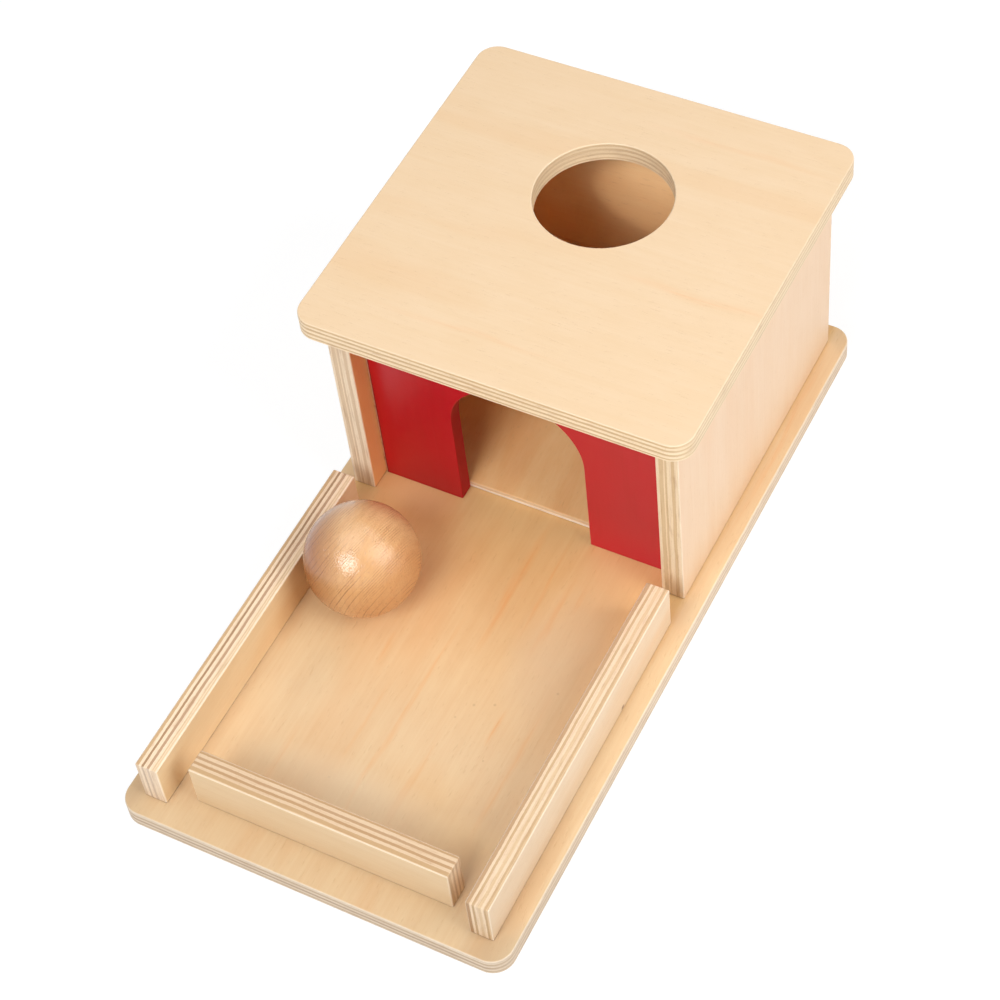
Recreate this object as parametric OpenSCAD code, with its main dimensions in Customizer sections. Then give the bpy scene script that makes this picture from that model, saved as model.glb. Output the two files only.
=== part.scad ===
// Object permanence box: a posting box with a drop hole in its lid, an arched doorway and a railed tray.
// +Z is up, +Y runs from the tray to the box, and the origin is the centre of the base's underside.

/* [Boards] */
// Thickness of the side walls and of the tray rails
ply_t = 8.8; // [6:0.1:12]
// Thickness of the front and back panels
panel_t = 6.5; // [4:0.1:10]
// Clearance on each side of a board that stands between the side walls
panel_fit = 0.1; // [0:0.05:0.3]

/* [Base] */
// Width of the base
base_w = 150; // [130:1:200]
// Length of the base
base_l = 298; // [270:1:400]
// Thickness of the base
base_t = 8; // [5:0.1:14]
// Radius of the base's corners
base_corner_r = 8; // [2:0.5:14]
// From the base's side edges to the outer faces of the walls and rails
side_margin = 7.3; // [2:0.1:14]
// From the base's back edge to the back of the box
back_margin = 7.8; // [2:0.1:14]

/* [Box] */
// Length of the side walls, front to back
box_l = 132.8; // [115:0.5:160]
// Height of the walls above the base
wall_h = 89.8; // [80:0.2:120]
// Setback of the front panel behind the front edges of the walls
front_recess = 8.4; // [2:0.2:16]

/* [Lid] */
// Thickness of the lid
lid_t = 8.2; // [5:0.1:12]
// Radius of the lid's corners
lid_corner_r = 8; // [2:0.5:14]
// Overhang of the lid past each side wall
lid_side_overhang = 7.1; // [0:0.1:12]
// Overhang of the lid past the front edges of the walls
lid_front_overhang = 9; // [0:0.1:14]
// Overhang of the lid past the back of the box
lid_back_overhang = 7.8; // [0:0.1:12]

/* [Ball] */
// Diameter of the ball
ball_d = 42.2; // [32:0.2:50]
// From the front edges of the walls to the ball's centre
ball_setback = 43.5; // [30:0.5:80]
// Clearance under the ball and beside it
ball_gap = 0.3; // [0.2:0.05:0.6]

/* [Drop hole and doorway] */
// Clearance round the ball as it drops through the lid
hole_clearance = 4.3; // [1:0.1:8]
// From the back of the box to the centre of the drop hole
hole_from_back = 47.4; // [40:0.2:80]
// Clearance on each side of the ball as it rolls out of the doorway
door_clearance = 5.2; // [1:0.1:8]
// Height of the doorway's straight jambs
door_jamb_h = 44.5; // [32:0.5:55]

/* [Ramp] */
// Thickness of the ramp board
ramp_t = 3; // [2:0.1:5]
// Height that the ramp's underside gains from front to back
ramp_rise = 16; // [8:0.5:24]

/* [Tray] */
// Height of the rails above the base
rail_h = 20; // [10:0.5:35]
// From the base's front edge to the front ends of the side rails
side_rail_margin = 7.9; // [2:0.1:14]
// Gap between the back ends of the side rails and the walls
rail_wall_gap = 11.1; // [2:0.1:20]
// From the base's front edge to the front face of the front rail
front_rail_margin = 13.3; // [8:0.1:24]
// Gap between each end of the front rail and the side rail beside it
rail_end_gap = 9.1; // [2:0.1:20]

/* [Hidden] */
$fn = 128;
// How far a cut runs past the faces that it opens
overrun = 1;

ply_color = [0.93, 0.78, 0.58];
lid_color = [0.96, 0.84, 0.67];
red_color = [0.72, 0.13, 0.14];
ball_color = [0.83, 0.62, 0.43];

// Across the box
base_front_y = -base_l / 2;
base_back_y = base_l / 2;
outer_x = base_w / 2 - side_margin;
inner_x = outer_x - ply_t;
panel_w = 2 * (inner_x - panel_fit);

// Along the box
box_back_y = base_back_y - back_margin;
box_front_y = box_back_y - box_l;
front_panel_y = box_front_y + front_recess;
ramp_front_y = front_panel_y + panel_t;
back_panel_y = box_back_y - panel_t;
ramp_run = back_panel_y - ramp_front_y;

// Upwards
tray_z = base_t;
lid_z = base_t + wall_h;

// Ball, and the openings that it passes
ball_r = ball_d / 2;
hole_r = ball_r + hole_clearance;
hole_y = box_back_y - hole_from_back;
door_r = ball_r + door_clearance;
ball_x = -inner_x + ball_gap + ball_r;
ball_y = box_front_y - ball_setback;
ball_z = tray_z + ball_gap + ball_r;

// Lid outline
lid_w = 2 * (outer_x + lid_side_overhang);
lid_l = box_l + lid_front_overhang + lid_back_overhang;
lid_y = (box_front_y - lid_front_overhang + box_back_y + lid_back_overhang) / 2;

// Rails
rail_back_y = box_front_y - rail_wall_gap;
rail_front_y = base_front_y + side_rail_margin;
side_rail_l = rail_back_y - rail_front_y;
front_rail_y = base_front_y + front_rail_margin;
front_rail_l = 2 * (inner_x - rail_end_gap);

// Rectangle of w by l, centred, with corners of radius r
module rounded_outline(w, l, r) {
  square([w - 2 * r, l], center = true);
  square([w, l - 2 * r], center = true);
  for (sx = [-1, 1], sy = [-1, 1])
    translate([sx * (w / 2 - r), sy * (l / 2 - r)])
      circle(r);
}

// Side wall, given the x of its left face
module side_wall(x) {
  color(ply_color)
    translate([x, box_front_y, tray_z])
      cube([ply_t, box_l, wall_h]);
}

// Side rail of the tray, given the x of its left face
module side_rail(x) {
  color(ply_color)
    translate([x, rail_front_y, tray_z])
      cube([ply_t, side_rail_l, rail_h]);
}

module base() {
  color(ply_color)
    linear_extrude(base_t)
      rounded_outline(base_w, base_l, base_corner_r);
}

module left_wall() {
  side_wall(-outer_x);
}

module right_wall() {
  side_wall(inner_x);
}

module back_panel() {
  color(ply_color)
    translate([-panel_w / 2, back_panel_y, tray_z])
      cube([panel_w, panel_t, wall_h]);
}

// Upright outline of the doorway, centred on x with its sill at zero
module doorway_outline() {
  translate([-door_r, -overrun])
    square([2 * door_r, door_jamb_h + overrun]);
  translate([0, door_jamb_h])
    circle(door_r);
}

// Painted panel with the arched doorway that the ball rolls out of
module front_panel() {
  color(red_color)
    translate([0, front_panel_y + panel_t, tray_z])
      rotate([90, 0, 0])
        linear_extrude(panel_t)
          difference() {
            translate([-panel_w / 2, 0])
              square([panel_w, wall_h]);
            doorway_outline();
          }
}

// Board that slopes down from the back panel to the doorway; its ends are cut upright
module ramp() {
  ramp_upright_t = ramp_t / cos(atan2(ramp_rise, ramp_run));
  color(ply_color)
    translate([-panel_w / 2, ramp_front_y, tray_z])
      rotate([90, 0, 90])
        linear_extrude(panel_w)
          polygon([
            [0, 0],
            [ramp_run, ramp_rise],
            [ramp_run, ramp_rise + ramp_upright_t],
            [0, ramp_upright_t]
          ]);
}

// Overhanging top with the round hole that the ball drops through
module lid() {
  color(lid_color)
    difference() {
      translate([0, lid_y, lid_z])
        linear_extrude(lid_t)
          rounded_outline(lid_w, lid_l, lid_corner_r);
      translate([0, hole_y, lid_z - overrun])
        cylinder(h = lid_t + 2 * overrun, r = hole_r);
    }
}

module left_rail() {
  side_rail(-outer_x);
}

module right_rail() {
  side_rail(inner_x);
}

module front_rail() {
  color(ply_color)
    translate([-front_rail_l / 2, front_rail_y, tray_z])
      cube([front_rail_l, ply_t, rail_h]);
}

// Turned ball, resting in the tray beside the left rail
module ball() {
  color(ball_color)
    translate([ball_x, ball_y, ball_z])
      sphere(ball_r);
}

base();
left_wall();
right_wall();
back_panel();
front_panel();
ramp();
lid();
left_rail();
right_rail();
front_rail();
ball();
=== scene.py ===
"""Looks for the object permanence box: materials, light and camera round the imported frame."""
import math

import bpy
from mathutils import Matrix, Vector


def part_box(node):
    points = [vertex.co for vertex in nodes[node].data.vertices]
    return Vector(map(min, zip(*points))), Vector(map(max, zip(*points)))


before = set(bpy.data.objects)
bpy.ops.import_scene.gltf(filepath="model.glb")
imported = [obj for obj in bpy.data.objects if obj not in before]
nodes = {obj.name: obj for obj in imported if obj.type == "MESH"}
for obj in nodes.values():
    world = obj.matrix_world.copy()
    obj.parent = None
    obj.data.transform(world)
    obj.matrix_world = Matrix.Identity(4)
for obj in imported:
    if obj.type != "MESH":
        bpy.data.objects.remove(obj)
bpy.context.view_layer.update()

MM = 0.001

# The middle of the drop hole seen from above.
DROP_HOLE = (0.0, 0.0938)

# The camera, found from the photograph's edges. The image is 1000 x 1000 pixels.
SENSOR = 36.0
LENS = 91.55
CAMERA_TARGET = (0.0002, 0.0011, 0.0400)
CAMERA_DISTANCE = 0.9020
CAMERA_AZIMUTH = 33.187
CAMERA_ELEVATION = 52.153
CAMERA_ROLL = 7.70

# The light. A level is how bright a white card looks that faces the lamp. A direction points from the
# object to the lamp. Distances and sizes are in metres.
LIGHT_TARGET = (0.0, 0.0, 0.03)
FRONT_DIRECTION = (-0.04, -0.757, 0.652)
FRONT_DISTANCE = 1.4
FRONT_SIZE = 0.70
FRONT_TURN = 45.0
RIGHT_DIRECTION = (0.775, -0.01, 0.63)
RIGHT_DISTANCE = 1.4
RIGHT_SIZE = 0.90
TOP_DIRECTION = (-0.2, -0.2, 1.0)
TOP_DISTANCE = 1.2
TOP_SIZE = 0.9
BACK_DIRECTION = (0.2, 0.6, 0.8)
BACK_DISTANCE = 1.3
BACK_SIZE = 1.0
HOLE_DIRECTION = (0.03, -0.735, 0.678)
HOLE_DISTANCE = 1.4
HOLE_TARGET = (*DROP_HOLE, 0.1019)
HOLE_BEAM_RADIUS = 0.0146
HOLE_BEAM_WIDENING = 1.85
HOLE_BEAM_SOFTNESS = 0.58
HOLE_LAMP_RADIUS = 0.002
FRONT_LEVEL = 0.66
RIGHT_LEVEL = 0.65
TOP_LEVEL = 0.27
BACK_LEVEL = 0.26
HOLE_LEVEL = 0.23
WORLD_LEVEL = 0.01
FRONT_COLOR = (0.96, 0.98, 1.0)
RIGHT_COLOR = (1.0, 1.0, 1.0)
TOP_COLOR = (1.0, 1.0, 1.0)
BACK_COLOR = (1.0, 0.96, 0.94)
HOLE_COLOR = (1.0, 0.80, 0.60)
FILL_COLOR = (1.0, 1.0, 1.0)

# The floor's brightness where it looks white, the share of it that takes shadows, and where that share fades.
FLOOR_WHITE = 1.12
FLOOR_SHADOW_SHARE = 0.26
FLOOR_FADE = (0.6, 1.6)
FLOOR_HALF = 4.0
FLOOR_HEIGHT = -0.00002


def srgb(code):
    """A linear RGBA colour from a hex code."""
    parts = [int(code[i:i + 2], 16) / 255 for i in (1, 3, 5)]
    linear = [c / 12.92 if c <= 0.04045 else ((c + 0.055) / 1.055) ** 2.4 for c in parts]
    return (*linear, 1.0)


class Graph:
    """A material's node tree, with short calls for the nodes used here."""

    def __init__(self, name):
        self.material = bpy.data.materials.new(name)
        self.material.use_nodes = True
        self.tree = self.material.node_tree
        self.tree.nodes.clear()
        place = self.add("ShaderNodeTexCoord")
        self.coords = place.outputs["Object"]
        self.normal = place.outputs["Normal"]

    def add(self, kind, inputs=None, **settings):
        node = self.tree.nodes.new(kind)
        for key, value in settings.items():
            setattr(node, key, value)
        for key, value in (inputs or {}).items():
            self.put(node.inputs[key], value)
        return node

    def put(self, socket, value):
        if isinstance(value, bpy.types.NodeSocket):
            self.tree.links.new(value, socket)
        else:
            socket.default_value = value

    def math(self, operation, a, b=0.0, c=0.0):
        inputs = {0: a, 1: b, 2: c}
        return self.add("ShaderNodeMath", inputs, operation=operation).outputs[0]

    def spread(self, value, low, high, out_low=0.0, out_high=1.0):
        """value taken from low..high to out_low..out_high, held at the ends."""
        inputs = {"Value": value, "From Min": low, "From Max": high, "To Min": out_low, "To Max": out_high}
        return self.add("ShaderNodeMapRange", inputs, clamp=True).outputs["Result"]

    def noise(self, coords, scale, seed=0.0, detail=2.0, roughness=0.5, distortion=0.0):
        """Noise with scale features per metre along x, y and z."""
        start = (seed, seed * 1.7, seed * 0.6)
        moved = self.add("ShaderNodeMapping", {"Vector": coords, "Location": start, "Scale": scale})
        inputs = {
            "Vector": moved.outputs[0], "Scale": 1.0, "Detail": detail,
            "Roughness": roughness, "Distortion": distortion,
        }
        return self.add("ShaderNodeTexNoise", inputs).outputs["Fac"]

    def vector(self, operation, a, b=None):
        """Vector maths. The lengths come out as numbers, the rest as vectors."""
        inputs = {0: a} if b is None else {0: a, 1: b}
        node = self.add("ShaderNodeVectorMath", inputs, operation=operation)
        single = operation in ("LENGTH", "DISTANCE", "DOT_PRODUCT")
        return node.outputs["Value" if single else "Vector"]

    def ramp(self, value, stops):
        """A colour ramp from a list of (position, colour)."""
        node = self.add("ShaderNodeValToRGB", {"Fac": value})
        elements = node.color_ramp.elements
        while len(elements) > 1:
            elements.remove(elements[-1])
        elements[0].position = stops[0][0]
        elements[0].color = stops[0][1]
        for position, color in stops[1:]:
            elements.new(position).color = color
        return node.outputs["Color"]

    def mix(self, factor, a, b, blend="MIX"):
        """Colours a and b mixed by a factor from 0 to 1."""
        node = self.add("ShaderNodeMix", data_type="RGBA", blend_type=blend, clamp_factor=True)
        self.put(node.inputs[0], factor)
        self.put(node.inputs[6], a)
        self.put(node.inputs[7], b)
        return node.outputs[2]

    def shade(self, color, height, roughness, bump_distance, coat=0.0, coat_roughness=0.2,
              specular=0.5, coat_ior=1.5, coat_share=1.0):
        """The finished material. The coat's bump is a share of the wood's."""
        bump = self.add("ShaderNodeBump", {"Height": height, "Strength": 1.0, "Distance": bump_distance})
        coat_bump = self.add("ShaderNodeBump", {
            "Height": height, "Strength": 1.0, "Distance": bump_distance * coat_share,
        })
        shader = self.add("ShaderNodeBsdfPrincipled", {
            "Base Color": color, "Roughness": roughness, "Normal": bump.outputs[0],
            "Coat Normal": coat_bump.outputs[0],
            "Coat Weight": coat, "Coat Roughness": coat_roughness, "Specular IOR Level": specular,
            "Coat IOR": coat_ior,
        })
        output = self.add("ShaderNodeOutputMaterial")
        self.put(output.inputs["Surface"], shader.outputs[0])
        return self.material


AXES = {"X": 0, "Y": 1, "Z": 2}

# Where the painted shade toward the boards' front end and the base's painted warm shade toward the back
# change along Y, and where that warm shade ends on each side.
FRONT_SHADE_FADE = (-0.02, -0.15)
REAR_SHADE_FADE = (-0.08, 0.0)
REAR_SHADE_SIDES = (0.0695, 0.0665)
# The radii between which the painted light on the drop hole's edge fades.
HOLE_EDGE_PAINTED_LIGHT = (0.030, 0.027)
# The painted contact shadow where a board stands on another: its height in millimetres and its strength.
FOOT_SHADE = (0.55, 0.8)
# The heights of the ramp's front edge.
RAMP_EDGE_SPAN = (0.008, 0.011)

# How deep each surface's relief goes, in metres, and how far the boards' edges are eased.
BOARD_BUMP = 0.00005
PAINT_BUMP = 0.00004
BALL_BUMP = 0.00016
EASE = 0.5 * MM


def drawn_out(axis, across, along):
    """A noise scale with fine features across the grain and long ones along it."""
    scale = [across, across, across]
    scale[AXES[axis]] = along
    return tuple(scale)


def part_of(g, vector, axis):
    """One part of a vector: axis is X, Y or Z."""
    return g.add("ShaderNodeSeparateXYZ", {0: vector}).outputs[AXES[axis]]


# The plies of each board from its low side to its high side: where each ends, as a share of the
# board's thickness, and its tone.
PLY_TONES = {
    "face": srgb("#F3D8B2"),
    "white": srgb("#FDE9CE"),
    "bright": srgb("#FFF4E2"),
    "cream": srgb("#F8DFC0"),
    "sand": srgb("#E6C79F"),
    "tan": srgb("#CDAA80"),
    "brown": srgb("#B8916B"),
    "umber": srgb("#A6825F"),
    "clay": srgb("#BC9878"),
    "rust": srgb("#C98F68"),
}
LID_PLIES = [
    (0.11, "white"), (0.20, "tan"), (0.34, "white"), (0.46, "tan"),
    (0.60, "white"), (0.72, "tan"), (0.85, "white"), (1.0, "tan"),
]
BASE_PLIES = [
    (0.13, "white"), (0.24, "tan"), (0.38, "white"), (0.52, "brown"),
    (0.66, "white"), (0.79, "tan"), (1.0, "white"),
]
LEFT_RAIL_PLIES = [
    (0.165, "tan"), (0.29, "cream"), (0.385, "umber"), (0.53, "cream"), (0.645, "clay"),
    (0.765, "cream"), (0.83, "sand"), (0.86, "cream"), (0.92, "sand"), (0.98, "cream"), (1.0, "face"),
]
RIGHT_RAIL_PLIES = [
    (0.04, "rust"), (0.185, "brown"), (0.29, "cream"), (0.39, "tan"), (0.54, "cream"), (0.67, "sand"),
    (0.79, "cream"), (0.88, "tan"), (0.96, "sand"), (1.0, "cream"),
]
FRONT_RAIL_PLIES = [
    (0.075, "face"), (0.235, "tan"), (0.36, "cream"), (0.47, "brown"), (0.605, "cream"),
    (0.715, "clay"), (0.86, "cream"), (0.925, "brown"), (1.0, "tan"),
]
WALL_PLIES = [
    (0.15, "white"), (0.33, "tan"), (0.39, "cream"), (0.48, "tan"), (0.66, "white"), (0.81, "tan"),
    (0.97, "white"), (1.0, "rust"),
]
RAMP_PLIES = [(0.50, "bright"), (0.62, "cream"), (1.0, "sand")]
PANEL_PLIES = [(0.2, "face"), (0.4, "tan"), (0.6, "cream"), (0.8, "tan"), (1.0, "face")]


def ply_edge(g, stack, low, high, look):
    """The sawn edge of plywood. On the sides that face along the quiet axis the plies differ less."""
    plies, seed = look["plies"], look["seed"]
    wobble = g.noise(g.coords, (60.0, 60.0, 60.0), seed + 3.0, detail=2.0)
    fray = g.noise(g.coords, (900.0, 900.0, 900.0), seed + 4.0, detail=2.0)
    depth = g.spread(part_of(g, g.coords, stack), low, high)
    depth = g.math("ADD", depth, g.math("MULTIPLY_ADD", wobble, 0.06, -0.03))
    depth = g.math("ADD", depth, g.math("MULTIPLY_ADD", fray, 0.03, -0.015))
    stops = [(0.0, PLY_TONES[plies[0][1]])]
    for (end, tone), (_, following) in zip(plies, plies[1:]):
        stops.append((end - 0.008, PLY_TONES[tone]))
        stops.append((end + 0.008, PLY_TONES[following]))
    color = g.ramp(depth, stops)
    if look["quiet"]:
        facing = g.math("ABSOLUTE", part_of(g, g.normal, look["quiet"]))
        color = g.mix(g.math("MULTIPLY", facing, 0.5), color, srgb(look.get("quiet_tone", "#E9D0B0")))
    if "edge_tint" in look:
        tone, share = look["edge_tint"]
        if "tint_axis" in look:
            share = g.math("MULTIPLY", g.math("ABSOLUTE", part_of(g, g.normal, look["tint_axis"])), share)
        color = g.mix(share, color, srgb(tone))
    if "hole" in look:
        # Painted light: the hole's edge is painted paler, standing in for the light inside the hole.
        middle = g.add("ShaderNodeCombineXYZ", {0: part_of(g, g.coords, "X"), 1: part_of(g, g.coords, "Y")})
        gap = g.vector("DISTANCE", middle.outputs[0], look["hole"])
        color = g.mix(g.spread(gap, *HOLE_EDGE_PAINTED_LIGHT, 0.0, 0.30), color, srgb("#FFE9C0"))
    streaks = g.noise(g.coords, drawn_out(stack, 70.0, 2300.0), seed + 5.0, detail=3.0, roughness=0.6)
    blots = g.noise(g.coords, drawn_out(stack, 110.0, 900.0), seed + 6.0, detail=2.0)
    specks = g.noise(g.coords, (1500.0, 1500.0, 1500.0), seed + 8.0, detail=2.0, roughness=0.6)
    color = g.mix(g.spread(streaks, 0.45, 0.75, 0.0, 0.40), color, srgb("#C49C70"))
    color = g.mix(g.spread(blots, 0.58, 0.75, 0.0, 0.40), color, srgb("#B58C66"))
    color = g.mix(g.spread(specks, 0.56, 0.74, 0.0, 0.18), color, srgb("#A67F5A"))
    return color, g.math("ADD", streaks, specks)


def veneer(g, along, look, seed):
    """Birch veneer: soft broad figure and fine fibres along the grain, with a few faint pores."""
    pale, deep, warm = (srgb(tone) for tone in look["tones"])
    low = g.noise(g.coords, drawn_out(along, 36.0, 6.0), seed, detail=2.0, distortion=0.6)
    rings = g.math("PINGPONG", g.math("MULTIPLY", low, 8.0), 1.0)
    fibres = g.noise(g.coords, drawn_out(along, 900.0, 22.0), seed + 1.0, detail=4.0, roughness=0.65)
    mottle = g.noise(g.coords, drawn_out(along, 160.0, 60.0), seed + 2.0, detail=3.0)
    pores = g.noise(g.coords, drawn_out(along, 1700.0, 260.0), seed + 4.0, detail=1.0)
    figure = g.math("MULTIPLY_ADD", rings, look.get("figure", 0.10), g.math("MULTIPLY", fibres, 0.55))
    figure = g.math("MULTIPLY_ADD", mottle, 0.40, figure)
    color = g.mix(g.spread(figure, 0.30, 0.80), pale, deep)
    color = g.mix(g.spread(low, 0.56, 0.80, 0.0, 0.5), color, warm)
    color = g.mix(g.spread(pores, 0.66, 0.78, 0.0, look.get("pores", 0.22)), color, srgb("#C79B6C"))
    return color, g.math("SUBTRACT", g.math("MULTIPLY", fibres, 0.6), g.spread(pores, 0.62, 0.76)), fibres


def streak(g, color, along, place, width, tone, strength):
    """A soft streak in the veneer: place is (middle across the grain, start, end), in millimetres."""
    middle, start, end = (v * MM for v in place)
    across = "X" if along == "Y" else "Y"
    sway = g.noise(g.coords, drawn_out(along, 40.0, 30.0), middle * 100, detail=2.0)
    aside = g.math("SUBTRACT", part_of(g, g.coords, across), middle)
    aside = g.math("ABSOLUTE", g.math("MULTIPLY_ADD", g.math("SUBTRACT", sway, 0.5), 0.006, aside))
    fine = g.noise(g.coords, drawn_out(along, 1300.0, 60.0), middle * 300 + 1, detail=2.0)
    run = part_of(g, g.coords, along)
    soft = (end - start) * 0.3
    starts = g.spread(run, start - soft, start + soft)
    ends = g.spread(run, end + soft, end - soft)
    window = g.math("MULTIPLY", starts, ends)
    mask = g.math("MULTIPLY", g.spread(aside, width * MM, 0.0), window)
    mask = g.math("MULTIPLY", mask, g.spread(fine, 0.35, 0.65, 0.4, 1.0))
    return g.mix(g.math("MULTIPLY", mask, strength), color, srgb(tone))


def speck(g, color, place, size, strength):
    """A small dark speck in the wood: place and size in millimetres."""
    gap = g.vector("DISTANCE", g.coords, tuple(v * MM for v in place))
    mask = g.spread(gap, size * MM, size * 0.3 * MM, 0.0, strength)
    return g.mix(mask, color, srgb("#7A4A2A"))


# Marks seen in the photograph, in millimetres in the CAD frame.
TRAY_STREAKS = [
    ((8.6, -33.0, 10.0), 2.2, 0.75), ((28.3, -30.0, -4.0), 1.8, 0.75), ((34.6, -12.0, -2.0), 1.6, 0.6),
    ((-1.4, -118.0, -46.0), 1.5, 0.55), ((-20.9, -59.0, -48.0), 1.5, 0.5), ((30.8, -73.0, -62.0), 1.5, 0.6),
    ((14.0, -112.0, -84.0), 1.6, 0.4), ((-33.0, -122.0, -98.0), 2.4, 0.4), ((43.0, -110.0, -60.0), 1.8, 0.4),
    ((-12.0, -100.0, -70.0), 1.2, 0.3), ((70.5, 60.0, 118.0), 1.6, 0.4), ((20.0, -26.0, 8.0), 1.2, 0.4),
]
TRAY_SPECKS = [
    ((19.4, -62.2, 8.0), 0.7, 0.22), ((26.1, -59.2, 8.0), 0.7, 0.22), ((15.6, -69.3, 8.0), 0.6, 0.18),
    ((44.2, -46.1, 8.0), 0.7, 0.25), ((-12.9, -108.8, 8.0), 0.6, 0.20), ((17.1, -120.3, 8.0), 0.6, 0.20),
    ((32.8, -81.2, 8.0), 0.5, 0.20),
]
# Broad patches of another colour: middle, reach, tone, strength and blend. Those marked below are painted
# light and shade; the rest make the tray darker, duller or warmer in places.
TRAY_PATCHES_AND_PAINTED_LIGHT = [
    ((8.0, -14.0, 8.0), (32.0, 32.0, 9.0), "#F1ECE8", 1.0, "MULTIPLY"),
    # Painted light: lifts the shadow behind the ball.
    ((-42.0, 13.0, 8.0), (19.0, 12.0, 9.0), "#F3DEBA", 0.4, "MIX"),
    ((-46.0, -71.0, 8.0), (22.0, 34.0, 9.0), "#F4F5F6", 1.0, "MULTIPLY"),
    ((22.0, -104.0, 8.0), (22.0, 18.0, 9.0), "#FFFAF3", 1.0, "MULTIPLY"),
    ((38.0, -24.0, 8.0), (20.0, 42.0, 9.0), "#DDC9B0", 0.5, "MIX"),
    # Painted shade: the base's front right corner, darker and cooler.
    ((70.0, -143.0, 8.0), (14.0, 16.0, 9.0), "#EFF4FA", 1.0, "MULTIPLY"),
    # Painted light: lifts the shadow in the corner of the front and right rails.
    ((44.0, -112.0, 8.0), (20.0, 12.0, 9.0), "#FFDDAA", 0.6, "MIX"),
    # Painted light: lifts the front rail's shadow on the tray.
    ((-6.0, -112.0, 8.0), (46.0, 14.0, 9.0), "#F6E2C0", 0.4, "MIX"),
    # Painted shade: the base's strip outside the left rail, darker and cooler.
    ((-71.5, -75.0, 8.0), (5.5, 85.0, 9.0), "#E4DCE0", 1.0, "MULTIPLY"),
]
# Painted shade, deeper and warmer: on the left rail's inner face beside the ball, on the back panel's left
# part and on the ramp's left rear, inside the box.
RAIL_PAINTED_SHADE = [((-58.9, -44.0, 10.0), (6.0, 44.0, 20.0), "#FFE6C6", 0.5, "MULTIPLY")]
BACK_PAINTED_SHADE = [((-58.0, 134.7, 40.0), (34.0, 3.0, 70.0), "#FFE6C8", 1.0, "MULTIPLY")]
RAMP_PAINTED_SHADE = [((-44.0, 70.0, 15.0), (34.0, 60.0, 30.0), "#FFE4C6", 1.0, "MULTIPLY")]
LID_STREAKS = [
    ((62.0, 30.0, 75.0), 2.6, 0.28), ((18.0, -40.0, 12.0), 2.0, 0.2), ((132.0, 10.0, 60.0), 2.2, 0.2),
]
RIGHT_RAIL_KNOT = ((67.4, -42.6, 9.4), 1.4, 0.8)


def patch(g, color, place, reach, tone, strength, blend):
    """A broad soft patch of another tone: place and reach in millimetres."""
    aside = g.vector("SUBTRACT", g.coords, tuple(v * MM for v in place))
    scaled = g.vector("DIVIDE", aside, tuple(v * MM for v in reach))
    far = g.vector("LENGTH", scaled)
    cloud = g.noise(g.coords, (45.0, 45.0, 45.0), 17.0, detail=2.0)
    far = g.math("ADD", far, g.math("MULTIPLY_ADD", cloud, 0.4, -0.2))
    return g.mix(g.spread(far, 1.0, 0.3, 0.0, strength), color, srgb(tone), blend=blend)


def plywood(name, look):
    """Plywood whose faces show veneer and whose edges show the plies, with the looks given in BOARD_LOOKS."""
    stack, along, seed = look["stack"], look["along"], look["seed"]
    g = Graph(f"{name}_ply")
    low, high = look.get("edge_span") or (corner[AXES[stack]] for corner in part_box(name))
    face_color, face_height, fibres = veneer(g, along, look, seed)
    # The inner face is given a deeper orange: partly the bare ply's deeper tone, partly painted warm shade
    # inside the box.
    if "inner_tone_and_shade" in look:
        inward, tone = look["inner_tone_and_shade"]
        side = g.math("MULTIPLY", part_of(g, g.normal, stack), inward)
        face_color = g.mix(g.spread(side, 0.5, 0.8, 0.0, 0.6), face_color, srgb(tone))
    for place, width, strength in look.get("streaks", []):
        face_color = streak(g, face_color, along, place, width, "#E8A86C", strength)
    for place, size, strength in look.get("specks", []):
        face_color = speck(g, face_color, place, size, strength)
    for place, reach, tone, strength, blend in look.get("patches", []):
        face_color = patch(g, face_color, place, reach, tone, strength, blend)
    edge_color, edge_height = ply_edge(g, stack, low, high, look)
    facing = g.math("ABSOLUTE", part_of(g, g.normal, stack))
    is_face = g.spread(facing, 0.55, 0.75)
    color = g.mix(is_face, edge_color, face_color)
    # Eased edges are painted paler: partly sanded wear, partly painted highlight.
    eased = g.math("MULTIPLY", g.spread(facing, 0.04, 0.25), g.spread(facing, 0.985, 0.90))
    color = g.mix(g.math("MULTIPLY", eased, look.get("eased", 0.45)), color, srgb("#FFF0DA"))
    # Painted shade: darker toward the front end.
    if "front_shade" in look:
        run = g.spread(part_of(g, g.coords, "Y"), *FRONT_SHADE_FADE, 0.0, look["front_shade"])
        color = g.mix(run, color, srgb("#CCCAC6"), blend="MULTIPLY")
    # Painted shade: warmer toward the back, inside the walls, as the box's warm shade.
    if "rear_shade" in look:
        run = g.spread(part_of(g, g.coords, "Y"), *REAR_SHADE_FADE, 0.0, look["rear_shade"])
        inside = g.spread(g.math("ABSOLUTE", part_of(g, g.coords, "X")), *REAR_SHADE_SIDES)
        color = g.mix(g.math("MULTIPLY", run, inside), color, srgb("#FFEFCA"), blend="MULTIPLY")
    # Painted shade: a dark line at the foot of the board.
    if "foot_shade" in look:
        above = g.math("SUBTRACT", part_of(g, g.coords, "Z"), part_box(name)[0][AXES["Z"]])
        reach, share = look["foot_shade"]
        color = g.mix(g.spread(above, reach * MM, 0.15 * MM, 0.0, share), color, srgb("#6E4A30"))
    height = g.mix(is_face, edge_height, face_height)
    roughness = g.math("MULTIPLY_ADD", fibres, 0.16, 0.38)
    roughness = g.math("ADD", roughness, g.spread(is_face, 0.0, 1.0, 0.18, 0.0))
    coat = look.get("coat", 0.12)
    return g.shade(color, height, roughness, BOARD_BUMP, coat=coat, coat_roughness=0.3, specular=0.4)


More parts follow.
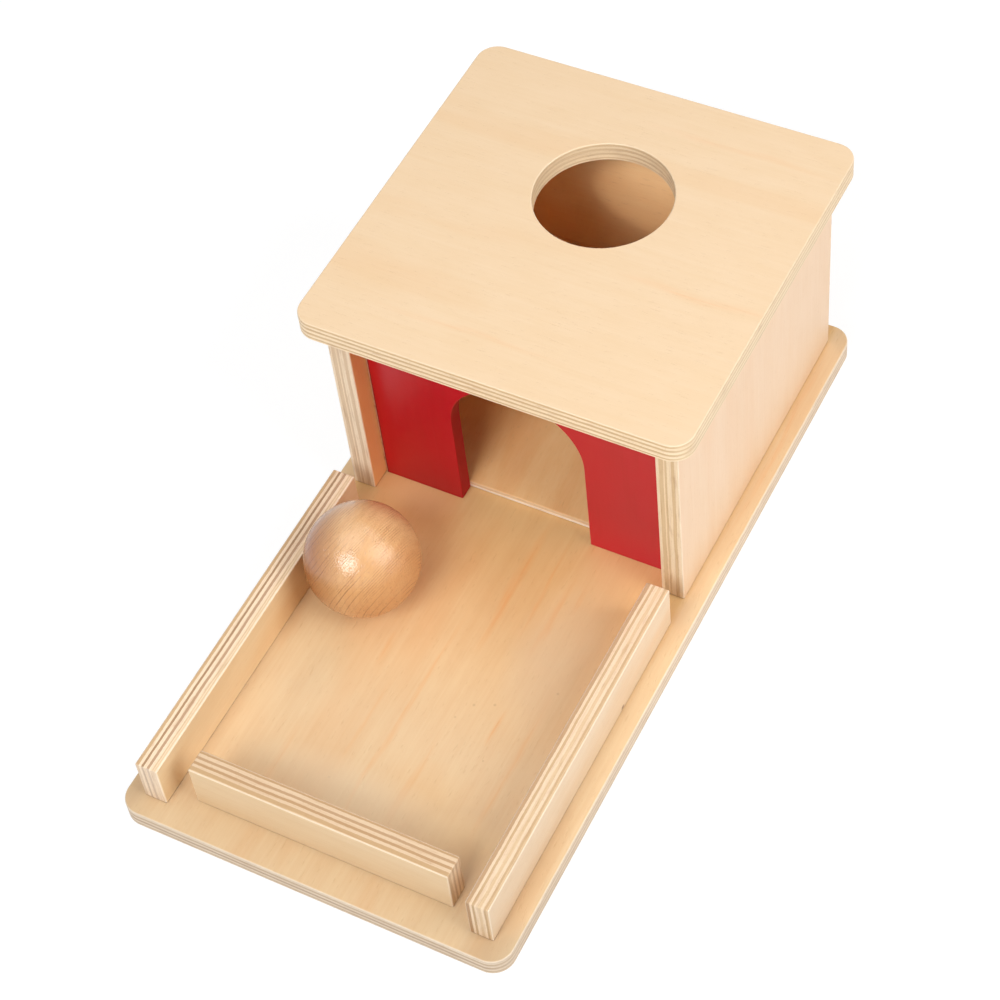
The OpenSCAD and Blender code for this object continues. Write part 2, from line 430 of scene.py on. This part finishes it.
def red_paint():
    """Satin red paint with faint brush marks. Its eased edges toward the left are rubbed to pale wood."""
    g = Graph("red_paint")
    grain = g.noise(g.coords, drawn_out("Z", 420.0, 22.0), 2.0, detail=3.0)
    cloud = g.noise(g.coords, (26.0, 26.0, 18.0), 7.0, detail=2.0)
    peel = g.noise(g.coords, (700.0, 700.0, 700.0), 9.0, detail=2.0)
    rub = g.noise(g.coords, (260.0, 260.0, 260.0), 12.0, detail=3.0)
    x = part_of(g, g.coords, "X")
    # Painted sheen: the red is lighter and less deep toward the right.
    color = g.mix(g.spread(x, -0.05, 0.05), srgb("#BA0418"), srgb("#C20D2C"))
    color = g.mix(g.spread(cloud, 0.35, 0.65, 0.0, 0.4), color, srgb("#CB0A24"))
    color = g.mix(g.spread(grain, 0.55, 0.75, 0.0, 0.2), color, srgb("#AF0815"))
    facing = g.math("ABSOLUTE", part_of(g, g.normal, "Y"))
    on_face = g.spread(facing, 0.4, 0.8)
    color = g.mix(on_face, srgb("#B50D1A"), color)
    eased = g.math("MULTIPLY", g.spread(facing, 0.04, 0.3), g.spread(facing, 0.98, 0.85))
    leftward = g.spread(part_of(g, g.normal, "X"), -0.1, -0.35)
    rubbed = g.math("MULTIPLY", g.math("MULTIPLY", eased, leftward), g.spread(rub, 0.3, 0.55, 0.3, 0.75))
    color = g.mix(rubbed, color, srgb("#E9B797"))
    # A dark line at the left end is painted shade in the gap against the wall, and both ends are rubbed.
    left_end, right_end = (corner[AXES["X"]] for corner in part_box("front_panel"))
    gap_shade = g.spread(x, left_end + 1.3 * MM, left_end + 0.9 * MM)
    color = g.mix(g.math("MULTIPLY", gap_shade, 0.75), color, srgb("#560810"))
    rubbed_left = g.spread(x, left_end + 0.8 * MM, left_end + 0.5 * MM)
    rubbed_right = g.spread(x, right_end - 0.8 * MM, right_end - 0.5 * MM)
    ends = g.math("MAXIMUM", rubbed_left, rubbed_right)
    color = g.mix(g.math("MULTIPLY", ends, g.spread(rub, 0.35, 0.5, 0.3, 0.9)), color, srgb("#E9B797"))
    height = g.math("MULTIPLY_ADD", peel, 0.5, grain)
    roughness = g.math("SUBTRACT", g.spread(cloud, 0.3, 0.7, 0.56, 0.64), g.math("MULTIPLY", on_face, 0.24))
    gloss = g.spread(x, -0.04, 0.04, 0.30, 0.46)
    specular = g.math("MULTIPLY", g.spread(on_face, 0.0, 1.0, 0.35, 1.0), gloss)
    return g.shade(color, height, roughness, PAINT_BUMP, coat=0.12, coat_roughness=0.25, specular=specular)


# The ball's wood: the direction across its growth layers, and one layer's width in millimetres.
LAYER_NORMAL = Vector((0.881, -0.211, -0.424)).normalized()
LAYER_WIDTH = 1.9

# The ball's tone shifts over it, and its upper side is painted lighter as painted light from above.
# These point to its upper side as photographed, its left and its lower left.
BALL_PAINTED_LIGHT_SIDE = (-0.32, 0.73, 0.61)
BALL_LEFT = (-0.89, -0.45, 0.08)
BALL_LOWER_LEFT = (-0.62, -0.62, -0.48)


def toward(g, place, direction):
    """How far a place lies in a direction, in metres."""
    return g.vector("DOT_PRODUCT", place, direction)


def turned_wood():
    """The lacquered ball: growth layers cut by the turned surface, with fine dark grain lines."""
    g = Graph("turned_wood")
    low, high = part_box("ball")
    centre = (low + high) / 2
    bend = g.noise(g.coords, (34.0, 10.0, 26.0), 4.0, detail=2.0)
    fine_bend = g.noise(g.coords, (150.0, 50.0, 80.0), 5.0, detail=2.0)
    from_middle = g.vector("SUBTRACT", g.coords, tuple(centre))
    depth = toward(g, from_middle, tuple(LAYER_NORMAL))
    layers = g.math("MULTIPLY", depth, 1000.0 / LAYER_WIDTH)
    layers = g.math("ADD", layers, g.math("MULTIPLY_ADD", bend, 1.5, 40.0))
    layers = g.math("ADD", layers, g.math("MULTIPLY", fine_bend, 0.3))
    phase = g.math("FRACT", layers)
    # Each layer's line has a strength of its own.
    number = g.add("ShaderNodeTexWhiteNoise", {"W": g.math("FLOOR", layers)}, noise_dimensions="1D")
    line = g.math("MULTIPLY", g.spread(phase, 0.80, 0.94), g.spread(phase, 1.0, 0.96))
    line = g.math("MULTIPLY", line, g.spread(number.outputs["Value"], 0.1, 0.7, 0.15, 1.0))
    strength = g.spread(toward(g, from_middle, BALL_LOWER_LEFT), -0.008, 0.006, 0.10, 0.90)
    broken = g.noise(g.coords, (500.0, 110.0, 220.0), 8.0, detail=3.0, roughness=0.6)
    line = g.math("MULTIPLY", g.math("MULTIPLY", line, strength), g.spread(broken, 0.34, 0.50, 0.25, 1.0))
    # Fainter lines lie between the layers' own.
    between = g.math("FRACT", g.math("MULTIPLY", layers, 2.37))
    between = g.math("MULTIPLY", g.spread(between, 0.70, 0.90), g.spread(between, 1.0, 0.93))
    patchy = g.noise(g.coords, (260.0, 70.0, 120.0), 14.0, detail=2.0)
    line = g.math("MAXIMUM", line, g.math("MULTIPLY", between, g.spread(patchy, 0.48, 0.62, 0.0, 0.55)))
    fibres = g.noise(g.coords, (900.0, 80.0, 200.0), 1.0, detail=3.0, roughness=0.6)
    pores = g.noise(g.coords, (2000.0, 420.0, 1000.0), 6.0, detail=2.0)
    grit = g.noise(g.coords, (1500.0, 1150.0, 1300.0), 7.0, detail=3.0, roughness=0.6)
    color = g.mix(g.spread(bend, 0.35, 0.65), srgb("#E2B27B"), srgb("#D7A06A"))
    # Painted light: the upper side is lighter.
    painted_top_light = g.spread(toward(g, from_middle, BALL_PAINTED_LIGHT_SIDE), 0.0, 0.018, 0.0, 0.7)
    color = g.mix(painted_top_light, color, srgb("#EBC18E"))
    left = g.spread(toward(g, from_middle, BALL_LEFT), 0.006, 0.018, 0.0, 0.85)
    color = g.mix(left, color, srgb("#9C521E"))
    color = g.mix(g.spread(fibres, 0.42, 0.70, 0.0, 0.35), color, srgb("#C98C5A"))
    color = g.mix(g.math("MULTIPLY", line, 0.85), color, srgb("#7E4526"))
    color = g.mix(g.spread(pores, 0.60, 0.74, 0.0, 0.20), color, srgb("#965E37"))
    hollows = g.math("ADD", line, g.spread(pores, 0.6, 0.75))
    height = g.math("SUBTRACT", grit, g.math("MULTIPLY", hollows, 0.5))
    roughness = g.spread(fibres, 0.4, 0.7, 0.46, 0.56)
    # The lacquer is duller toward the right.
    rightward = part_of(g, from_middle, "X")
    coat = g.spread(rightward, 0.005, 0.011, 1.0, 0.75)
    coat_roughness = g.spread(rightward, 0.005, 0.011, 0.10, 0.24)
    return g.shade(
        color, height, roughness, BALL_BUMP, coat=coat, coat_roughness=coat_roughness,
        specular=0.05, coat_ior=1.62, coat_share=0.65,
    )


def ease_edges(node, width):
    """Rounds a board's sharp edges, and keeps its faces flat. The CAD mesh itself stays as it is."""
    group = bpy.data.node_groups.new(f"join_{node.name}", "GeometryNodeTree")
    group.interface.new_socket("Geometry", in_out="INPUT", socket_type="NodeSocketGeometry")
    group.interface.new_socket("Geometry", in_out="OUTPUT", socket_type="NodeSocketGeometry")
    start = group.nodes.new("NodeGroupInput")
    bare = group.nodes.new("GeometryNodeRemoveAttribute")
    bare.inputs["Name"].default_value = "custom_normal"
    merge = group.nodes.new("GeometryNodeMergeByDistance")
    merge.inputs["Distance"].default_value = 0.000005
    smooth = group.nodes.new("GeometryNodeSetShadeSmooth")
    edges = group.nodes.new("GeometryNodeSetShadeSmooth")
    edges.domain = "EDGE"
    end = group.nodes.new("NodeGroupOutput")
    chain = [start, bare, merge, smooth, edges, end]
    for a, b in zip(chain, chain[1:]):
        group.links.new(a.outputs[0], b.inputs[0])
    join = node.modifiers.new("join", "NODES")
    join.node_group = group
    flat = node.modifiers.new("flat", "DECIMATE")
    flat.decimate_type = "DISSOLVE"
    flat.angle_limit = math.radians(0.5)
    bevel = node.modifiers.new("ease", "BEVEL")
    bevel.width = width
    bevel.segments = 3
    bevel.limit_method = "ANGLE"
    bevel.angle_limit = math.radians(30)
    bevel.use_clamp_overlap = False
    bevel.harden_normals = True


BOARD_LOOKS = {
    "base": {
        "stack": "Z", "along": "Y", "plies": BASE_PLIES, "quiet": "X", "seed": 1.0,
        "tones": ("#EACDA3", "#E2BD91", "#DFAB78"), "streaks": TRAY_STREAKS,
        "specks": TRAY_SPECKS, "patches": TRAY_PATCHES_AND_PAINTED_LIGHT,
        "front_shade": 0.50, "rear_shade": 0.8, "edge_tint": ("#E2D0BC", 0.35),
    },
    "ramp": {
        "stack": "Z", "along": "Y", "plies": RAMP_PLIES, "quiet": "X", "seed": 11.0,
        "edge_span": RAMP_EDGE_SPAN, "eased": 0.05, "foot_shade": (0.35, 0.8),
        "tones": ("#F9CD93", "#F1BB7D", "#E8A466"), "coat": 0.0, "patches": RAMP_PAINTED_SHADE,
    },
    "left_wall": {
        "stack": "X", "along": "Z", "plies": WALL_PLIES, "seed": 21.0,
        "quiet": "Y", "quiet_tone": "#F3DEC0", "foot_shade": FOOT_SHADE,
        "tones": ("#F4D5B0", "#EBC69A", "#EFBC88"), "inner_tone_and_shade": (1.0, "#FFBA60"),
    },
    "right_wall": {
        "stack": "X", "along": "Z", "plies": WALL_PLIES, "seed": 31.0,
        "quiet": "Y", "quiet_tone": "#ECD4AA", "foot_shade": FOOT_SHADE,
        "tones": ("#F4D4B3", "#EECAA4", "#EFC297"), "inner_tone_and_shade": (-1.0, "#F4BE80"),
    },
    "back_panel": {
        "stack": "Y", "along": "X", "plies": PANEL_PLIES, "quiet": "X", "seed": 41.0,
        "patches": BACK_PAINTED_SHADE, "tones": ("#FFDCA9", "#FBD29B", "#F8C688"),
    },
    "lid": {
        "stack": "Z", "along": "X", "plies": LID_PLIES, "quiet": "X", "seed": 51.0,
        "tones": ("#EACEAB", "#E5C69E", "#E4BC8E"), "streaks": LID_STREAKS, "figure": 0.06, "pores": 0.09,
        "hole": (*DROP_HOLE, 0.0), "edge_tint": ("#F8DDA8", 0.25),
        "foot_shade": (0.25, 0.35), "eased": 0.25,
    },
    "left_rail": {
        "stack": "X", "along": "Y", "plies": LEFT_RAIL_PLIES, "seed": 61.0,
        "quiet": "Y", "quiet_tone": "#EBD8C2", "patches": RAIL_PAINTED_SHADE, "foot_shade": FOOT_SHADE,
        "tones": ("#F2D8AF", "#E9C99A", "#EDBF88"),
    },
    "right_rail": {
        "stack": "X", "along": "Y", "plies": RIGHT_RAIL_PLIES, "quiet": None, "seed": 71.0,
        "foot_shade": FOOT_SHADE, "tones": ("#F4DBBD", "#EBCCA6", "#F1C192"), "front_shade": 0.28,
        "specks": [RIGHT_RAIL_KNOT], "edge_tint": ("#E2C39C", 0.25), "tint_axis": "Z",
    },
    "front_rail": {
        "stack": "Y", "along": "X", "plies": FRONT_RAIL_PLIES, "quiet": "X", "seed": 81.0,
        "foot_shade": FOOT_SHADE, "tones": ("#E7CCA7", "#DEBE93", "#E1B183"),
        "edge_tint": ("#B8956A", 0.45), "tint_axis": "Z",
    },
}


def dress():
    """Gives every piece its material and eases the boards' edges."""
    for name, look in BOARD_LOOKS.items():
        nodes[name].data.materials[0] = plywood(name, look)
        ease_edges(nodes[name], EASE)
    nodes["front_panel"].data.materials[0] = red_paint()
    ease_edges(nodes["front_panel"], EASE)
    nodes["ball"].data.materials[0] = turned_wood()


def make_camera():
    """The camera at the photograph's angle."""
    azimuth = math.radians(CAMERA_AZIMUTH)
    elevation = math.radians(CAMERA_ELEVATION)
    roll = math.radians(CAMERA_ROLL)
    back = Vector((
        math.sin(azimuth) * math.cos(elevation),
        -math.cos(azimuth) * math.cos(elevation),
        math.sin(elevation),
    ))
    level = Vector((math.cos(azimuth), math.sin(azimuth), 0.0))
    upward = back.cross(level)
    right = level * math.cos(roll) - upward * math.sin(roll)
    up = level * math.sin(roll) + upward * math.cos(roll)
    data = bpy.data.cameras.new("camera")
    data.sensor_width = SENSOR
    data.lens = LENS
    data.clip_start = 0.01
    camera = bpy.data.objects.new("camera", data)
    turn = Matrix((right, up, back)).transposed().to_4x4()
    camera.matrix_world = Matrix.Translation(Vector(CAMERA_TARGET) + back * CAMERA_DISTANCE) @ turn
    bpy.context.scene.collection.objects.link(camera)
    bpy.context.scene.camera = camera


def softbox(name, direction, distance, size, level, color, turn=0.0):
    """A square lamp that faces the object from a direction."""
    backward = Vector(direction).normalized()
    data = bpy.data.lights.new(name, "AREA")
    data.shape = "SQUARE"
    data.size = size
    data.color = color
    # A square lamp of this power lights a white card at this distance to its level.
    data.energy = level * math.pi ** 2 * distance ** 2
    lamp = bpy.data.objects.new(name, data)
    lamp.rotation_mode = "QUATERNION"
    facing = backward.to_track_quat("Z", "Y")
    lamp.rotation_quaternion = facing @ Matrix.Rotation(math.radians(turn), 3, "Z").to_quaternion()
    lamp.location = Vector(LIGHT_TARGET) + backward * distance
    lamp.visible_camera = False
    bpy.context.scene.collection.objects.link(lamp)


def hole_lamp():
    """A narrow lamp beside the front one, whose beam goes down through the drop hole only."""
    backward = Vector(HOLE_DIRECTION).normalized()
    data = bpy.data.lights.new("hole_spot", "SPOT")
    data.spot_size = 2 * math.atan(HOLE_BEAM_RADIUS / HOLE_DISTANCE)
    data.spot_blend = HOLE_BEAM_SOFTNESS
    data.color = HOLE_COLOR
    data.shadow_soft_size = HOLE_LAMP_RADIUS
    data.energy = HOLE_LEVEL * 4 * math.pi ** 2 * HOLE_DISTANCE ** 2
    lamp = bpy.data.objects.new("hole_spot", data)
    lamp.rotation_mode = "QUATERNION"
    lamp.rotation_quaternion = backward.to_track_quat("Z", "Y")
    lamp.scale = (HOLE_BEAM_WIDENING, 1.0, 1.0)
    lamp.location = Vector(HOLE_TARGET) + backward * HOLE_DISTANCE
    bpy.context.scene.collection.objects.link(lamp)


def make_lights():
    """Four softboxes round the object and the lamp for the drop hole."""
    hole_lamp()
    softbox(
        "front_softbox", FRONT_DIRECTION, FRONT_DISTANCE, FRONT_SIZE, FRONT_LEVEL, FRONT_COLOR, FRONT_TURN,
    )
    softbox("right_softbox", RIGHT_DIRECTION, RIGHT_DISTANCE, RIGHT_SIZE, RIGHT_LEVEL, RIGHT_COLOR)
    softbox("top_softbox", TOP_DIRECTION, TOP_DISTANCE, TOP_SIZE, TOP_LEVEL, TOP_COLOR)
    softbox("back_softbox", BACK_DIRECTION, BACK_DISTANCE, BACK_SIZE, BACK_LEVEL, BACK_COLOR)


def make_world():
    """A dim even fill that the camera and mirrored rays see as plain white."""
    world = bpy.data.worlds.new("world")
    bpy.context.scene.world = world
    world.use_nodes = True
    tree = world.node_tree
    tree.nodes.clear()
    path = tree.nodes.new("ShaderNodeLightPath")
    mirrored = tree.nodes.new("ShaderNodeMath")
    mirrored.operation = "MAXIMUM"
    tree.links.new(path.outputs["Is Glossy Ray"], mirrored.inputs[0])
    tree.links.new(path.outputs["Is Transmission Ray"], mirrored.inputs[1])
    seen = tree.nodes.new("ShaderNodeMath")
    seen.operation = "MAXIMUM"
    tree.links.new(path.outputs["Is Camera Ray"], seen.inputs[0])
    tree.links.new(mirrored.outputs[0], seen.inputs[1])
    fill = tree.nodes.new("ShaderNodeBackground")
    fill.inputs["Strength"].default_value = WORLD_LEVEL
    white = tree.nodes.new("ShaderNodeBackground")
    white.inputs["Strength"].default_value = 1.0
    fill.inputs["Color"].default_value = (*FILL_COLOR, 1.0)
    white.inputs["Color"].default_value = (1.0, 1.0, 1.0, 1.0)
    choose = tree.nodes.new("ShaderNodeMixShader")
    output = tree.nodes.new("ShaderNodeOutputWorld")
    tree.links.new(seen.outputs[0], choose.inputs[0])
    tree.links.new(fill.outputs[0], choose.inputs[1])
    tree.links.new(white.outputs[0], choose.inputs[2])
    tree.links.new(choose.outputs[0], output.inputs["Surface"])


def make_floor():
    """A white floor that keeps the object's shadow and looks white where nothing shades it."""
    half = FLOOR_HALF
    mesh = bpy.data.meshes.new("floor")
    corners = [(-half, -half), (half, -half), (half, half), (-half, half)]
    mesh.from_pydata([(x, y, FLOOR_HEIGHT) for x, y in corners], [], [(0, 1, 2, 3)])
    floor = bpy.data.objects.new("floor", mesh)
    bpy.context.scene.collection.objects.link(floor)
    g = Graph("floor_white")
    path = g.add("ShaderNodeLightPath")
    mirrored = g.math("MAXIMUM", path.outputs["Is Glossy Ray"], path.outputs["Is Transmission Ray"])
    seen = g.math("MAXIMUM", path.outputs["Is Camera Ray"], mirrored)
    away = g.vector("LENGTH", g.coords)
    share = g.math("MULTIPLY", seen, g.spread(away, *FLOOR_FADE, 1.0 - FLOOR_SHADOW_SHARE, 1.0))
    paper = g.add("ShaderNodeBsdfDiffuse", {"Color": (0.86, 0.86, 0.86, 1.0)})
    light = g.add("ShaderNodeEmission", {"Color": (1.0, 1.0, 1.0, 1.0), "Strength": FLOOR_WHITE})
    both = g.add("ShaderNodeMixShader", {0: share, 1: paper.outputs[0], 2: light.outputs[0]})
    g.add("ShaderNodeOutputMaterial", {"Surface": both.outputs[0]})
    mesh.materials.append(g.material)


make_camera()
make_lights()
make_world()
make_floor()
dress()

bpy.context.scene.view_settings.view_transform = "Standard"
bpy.context.view_layer.update()
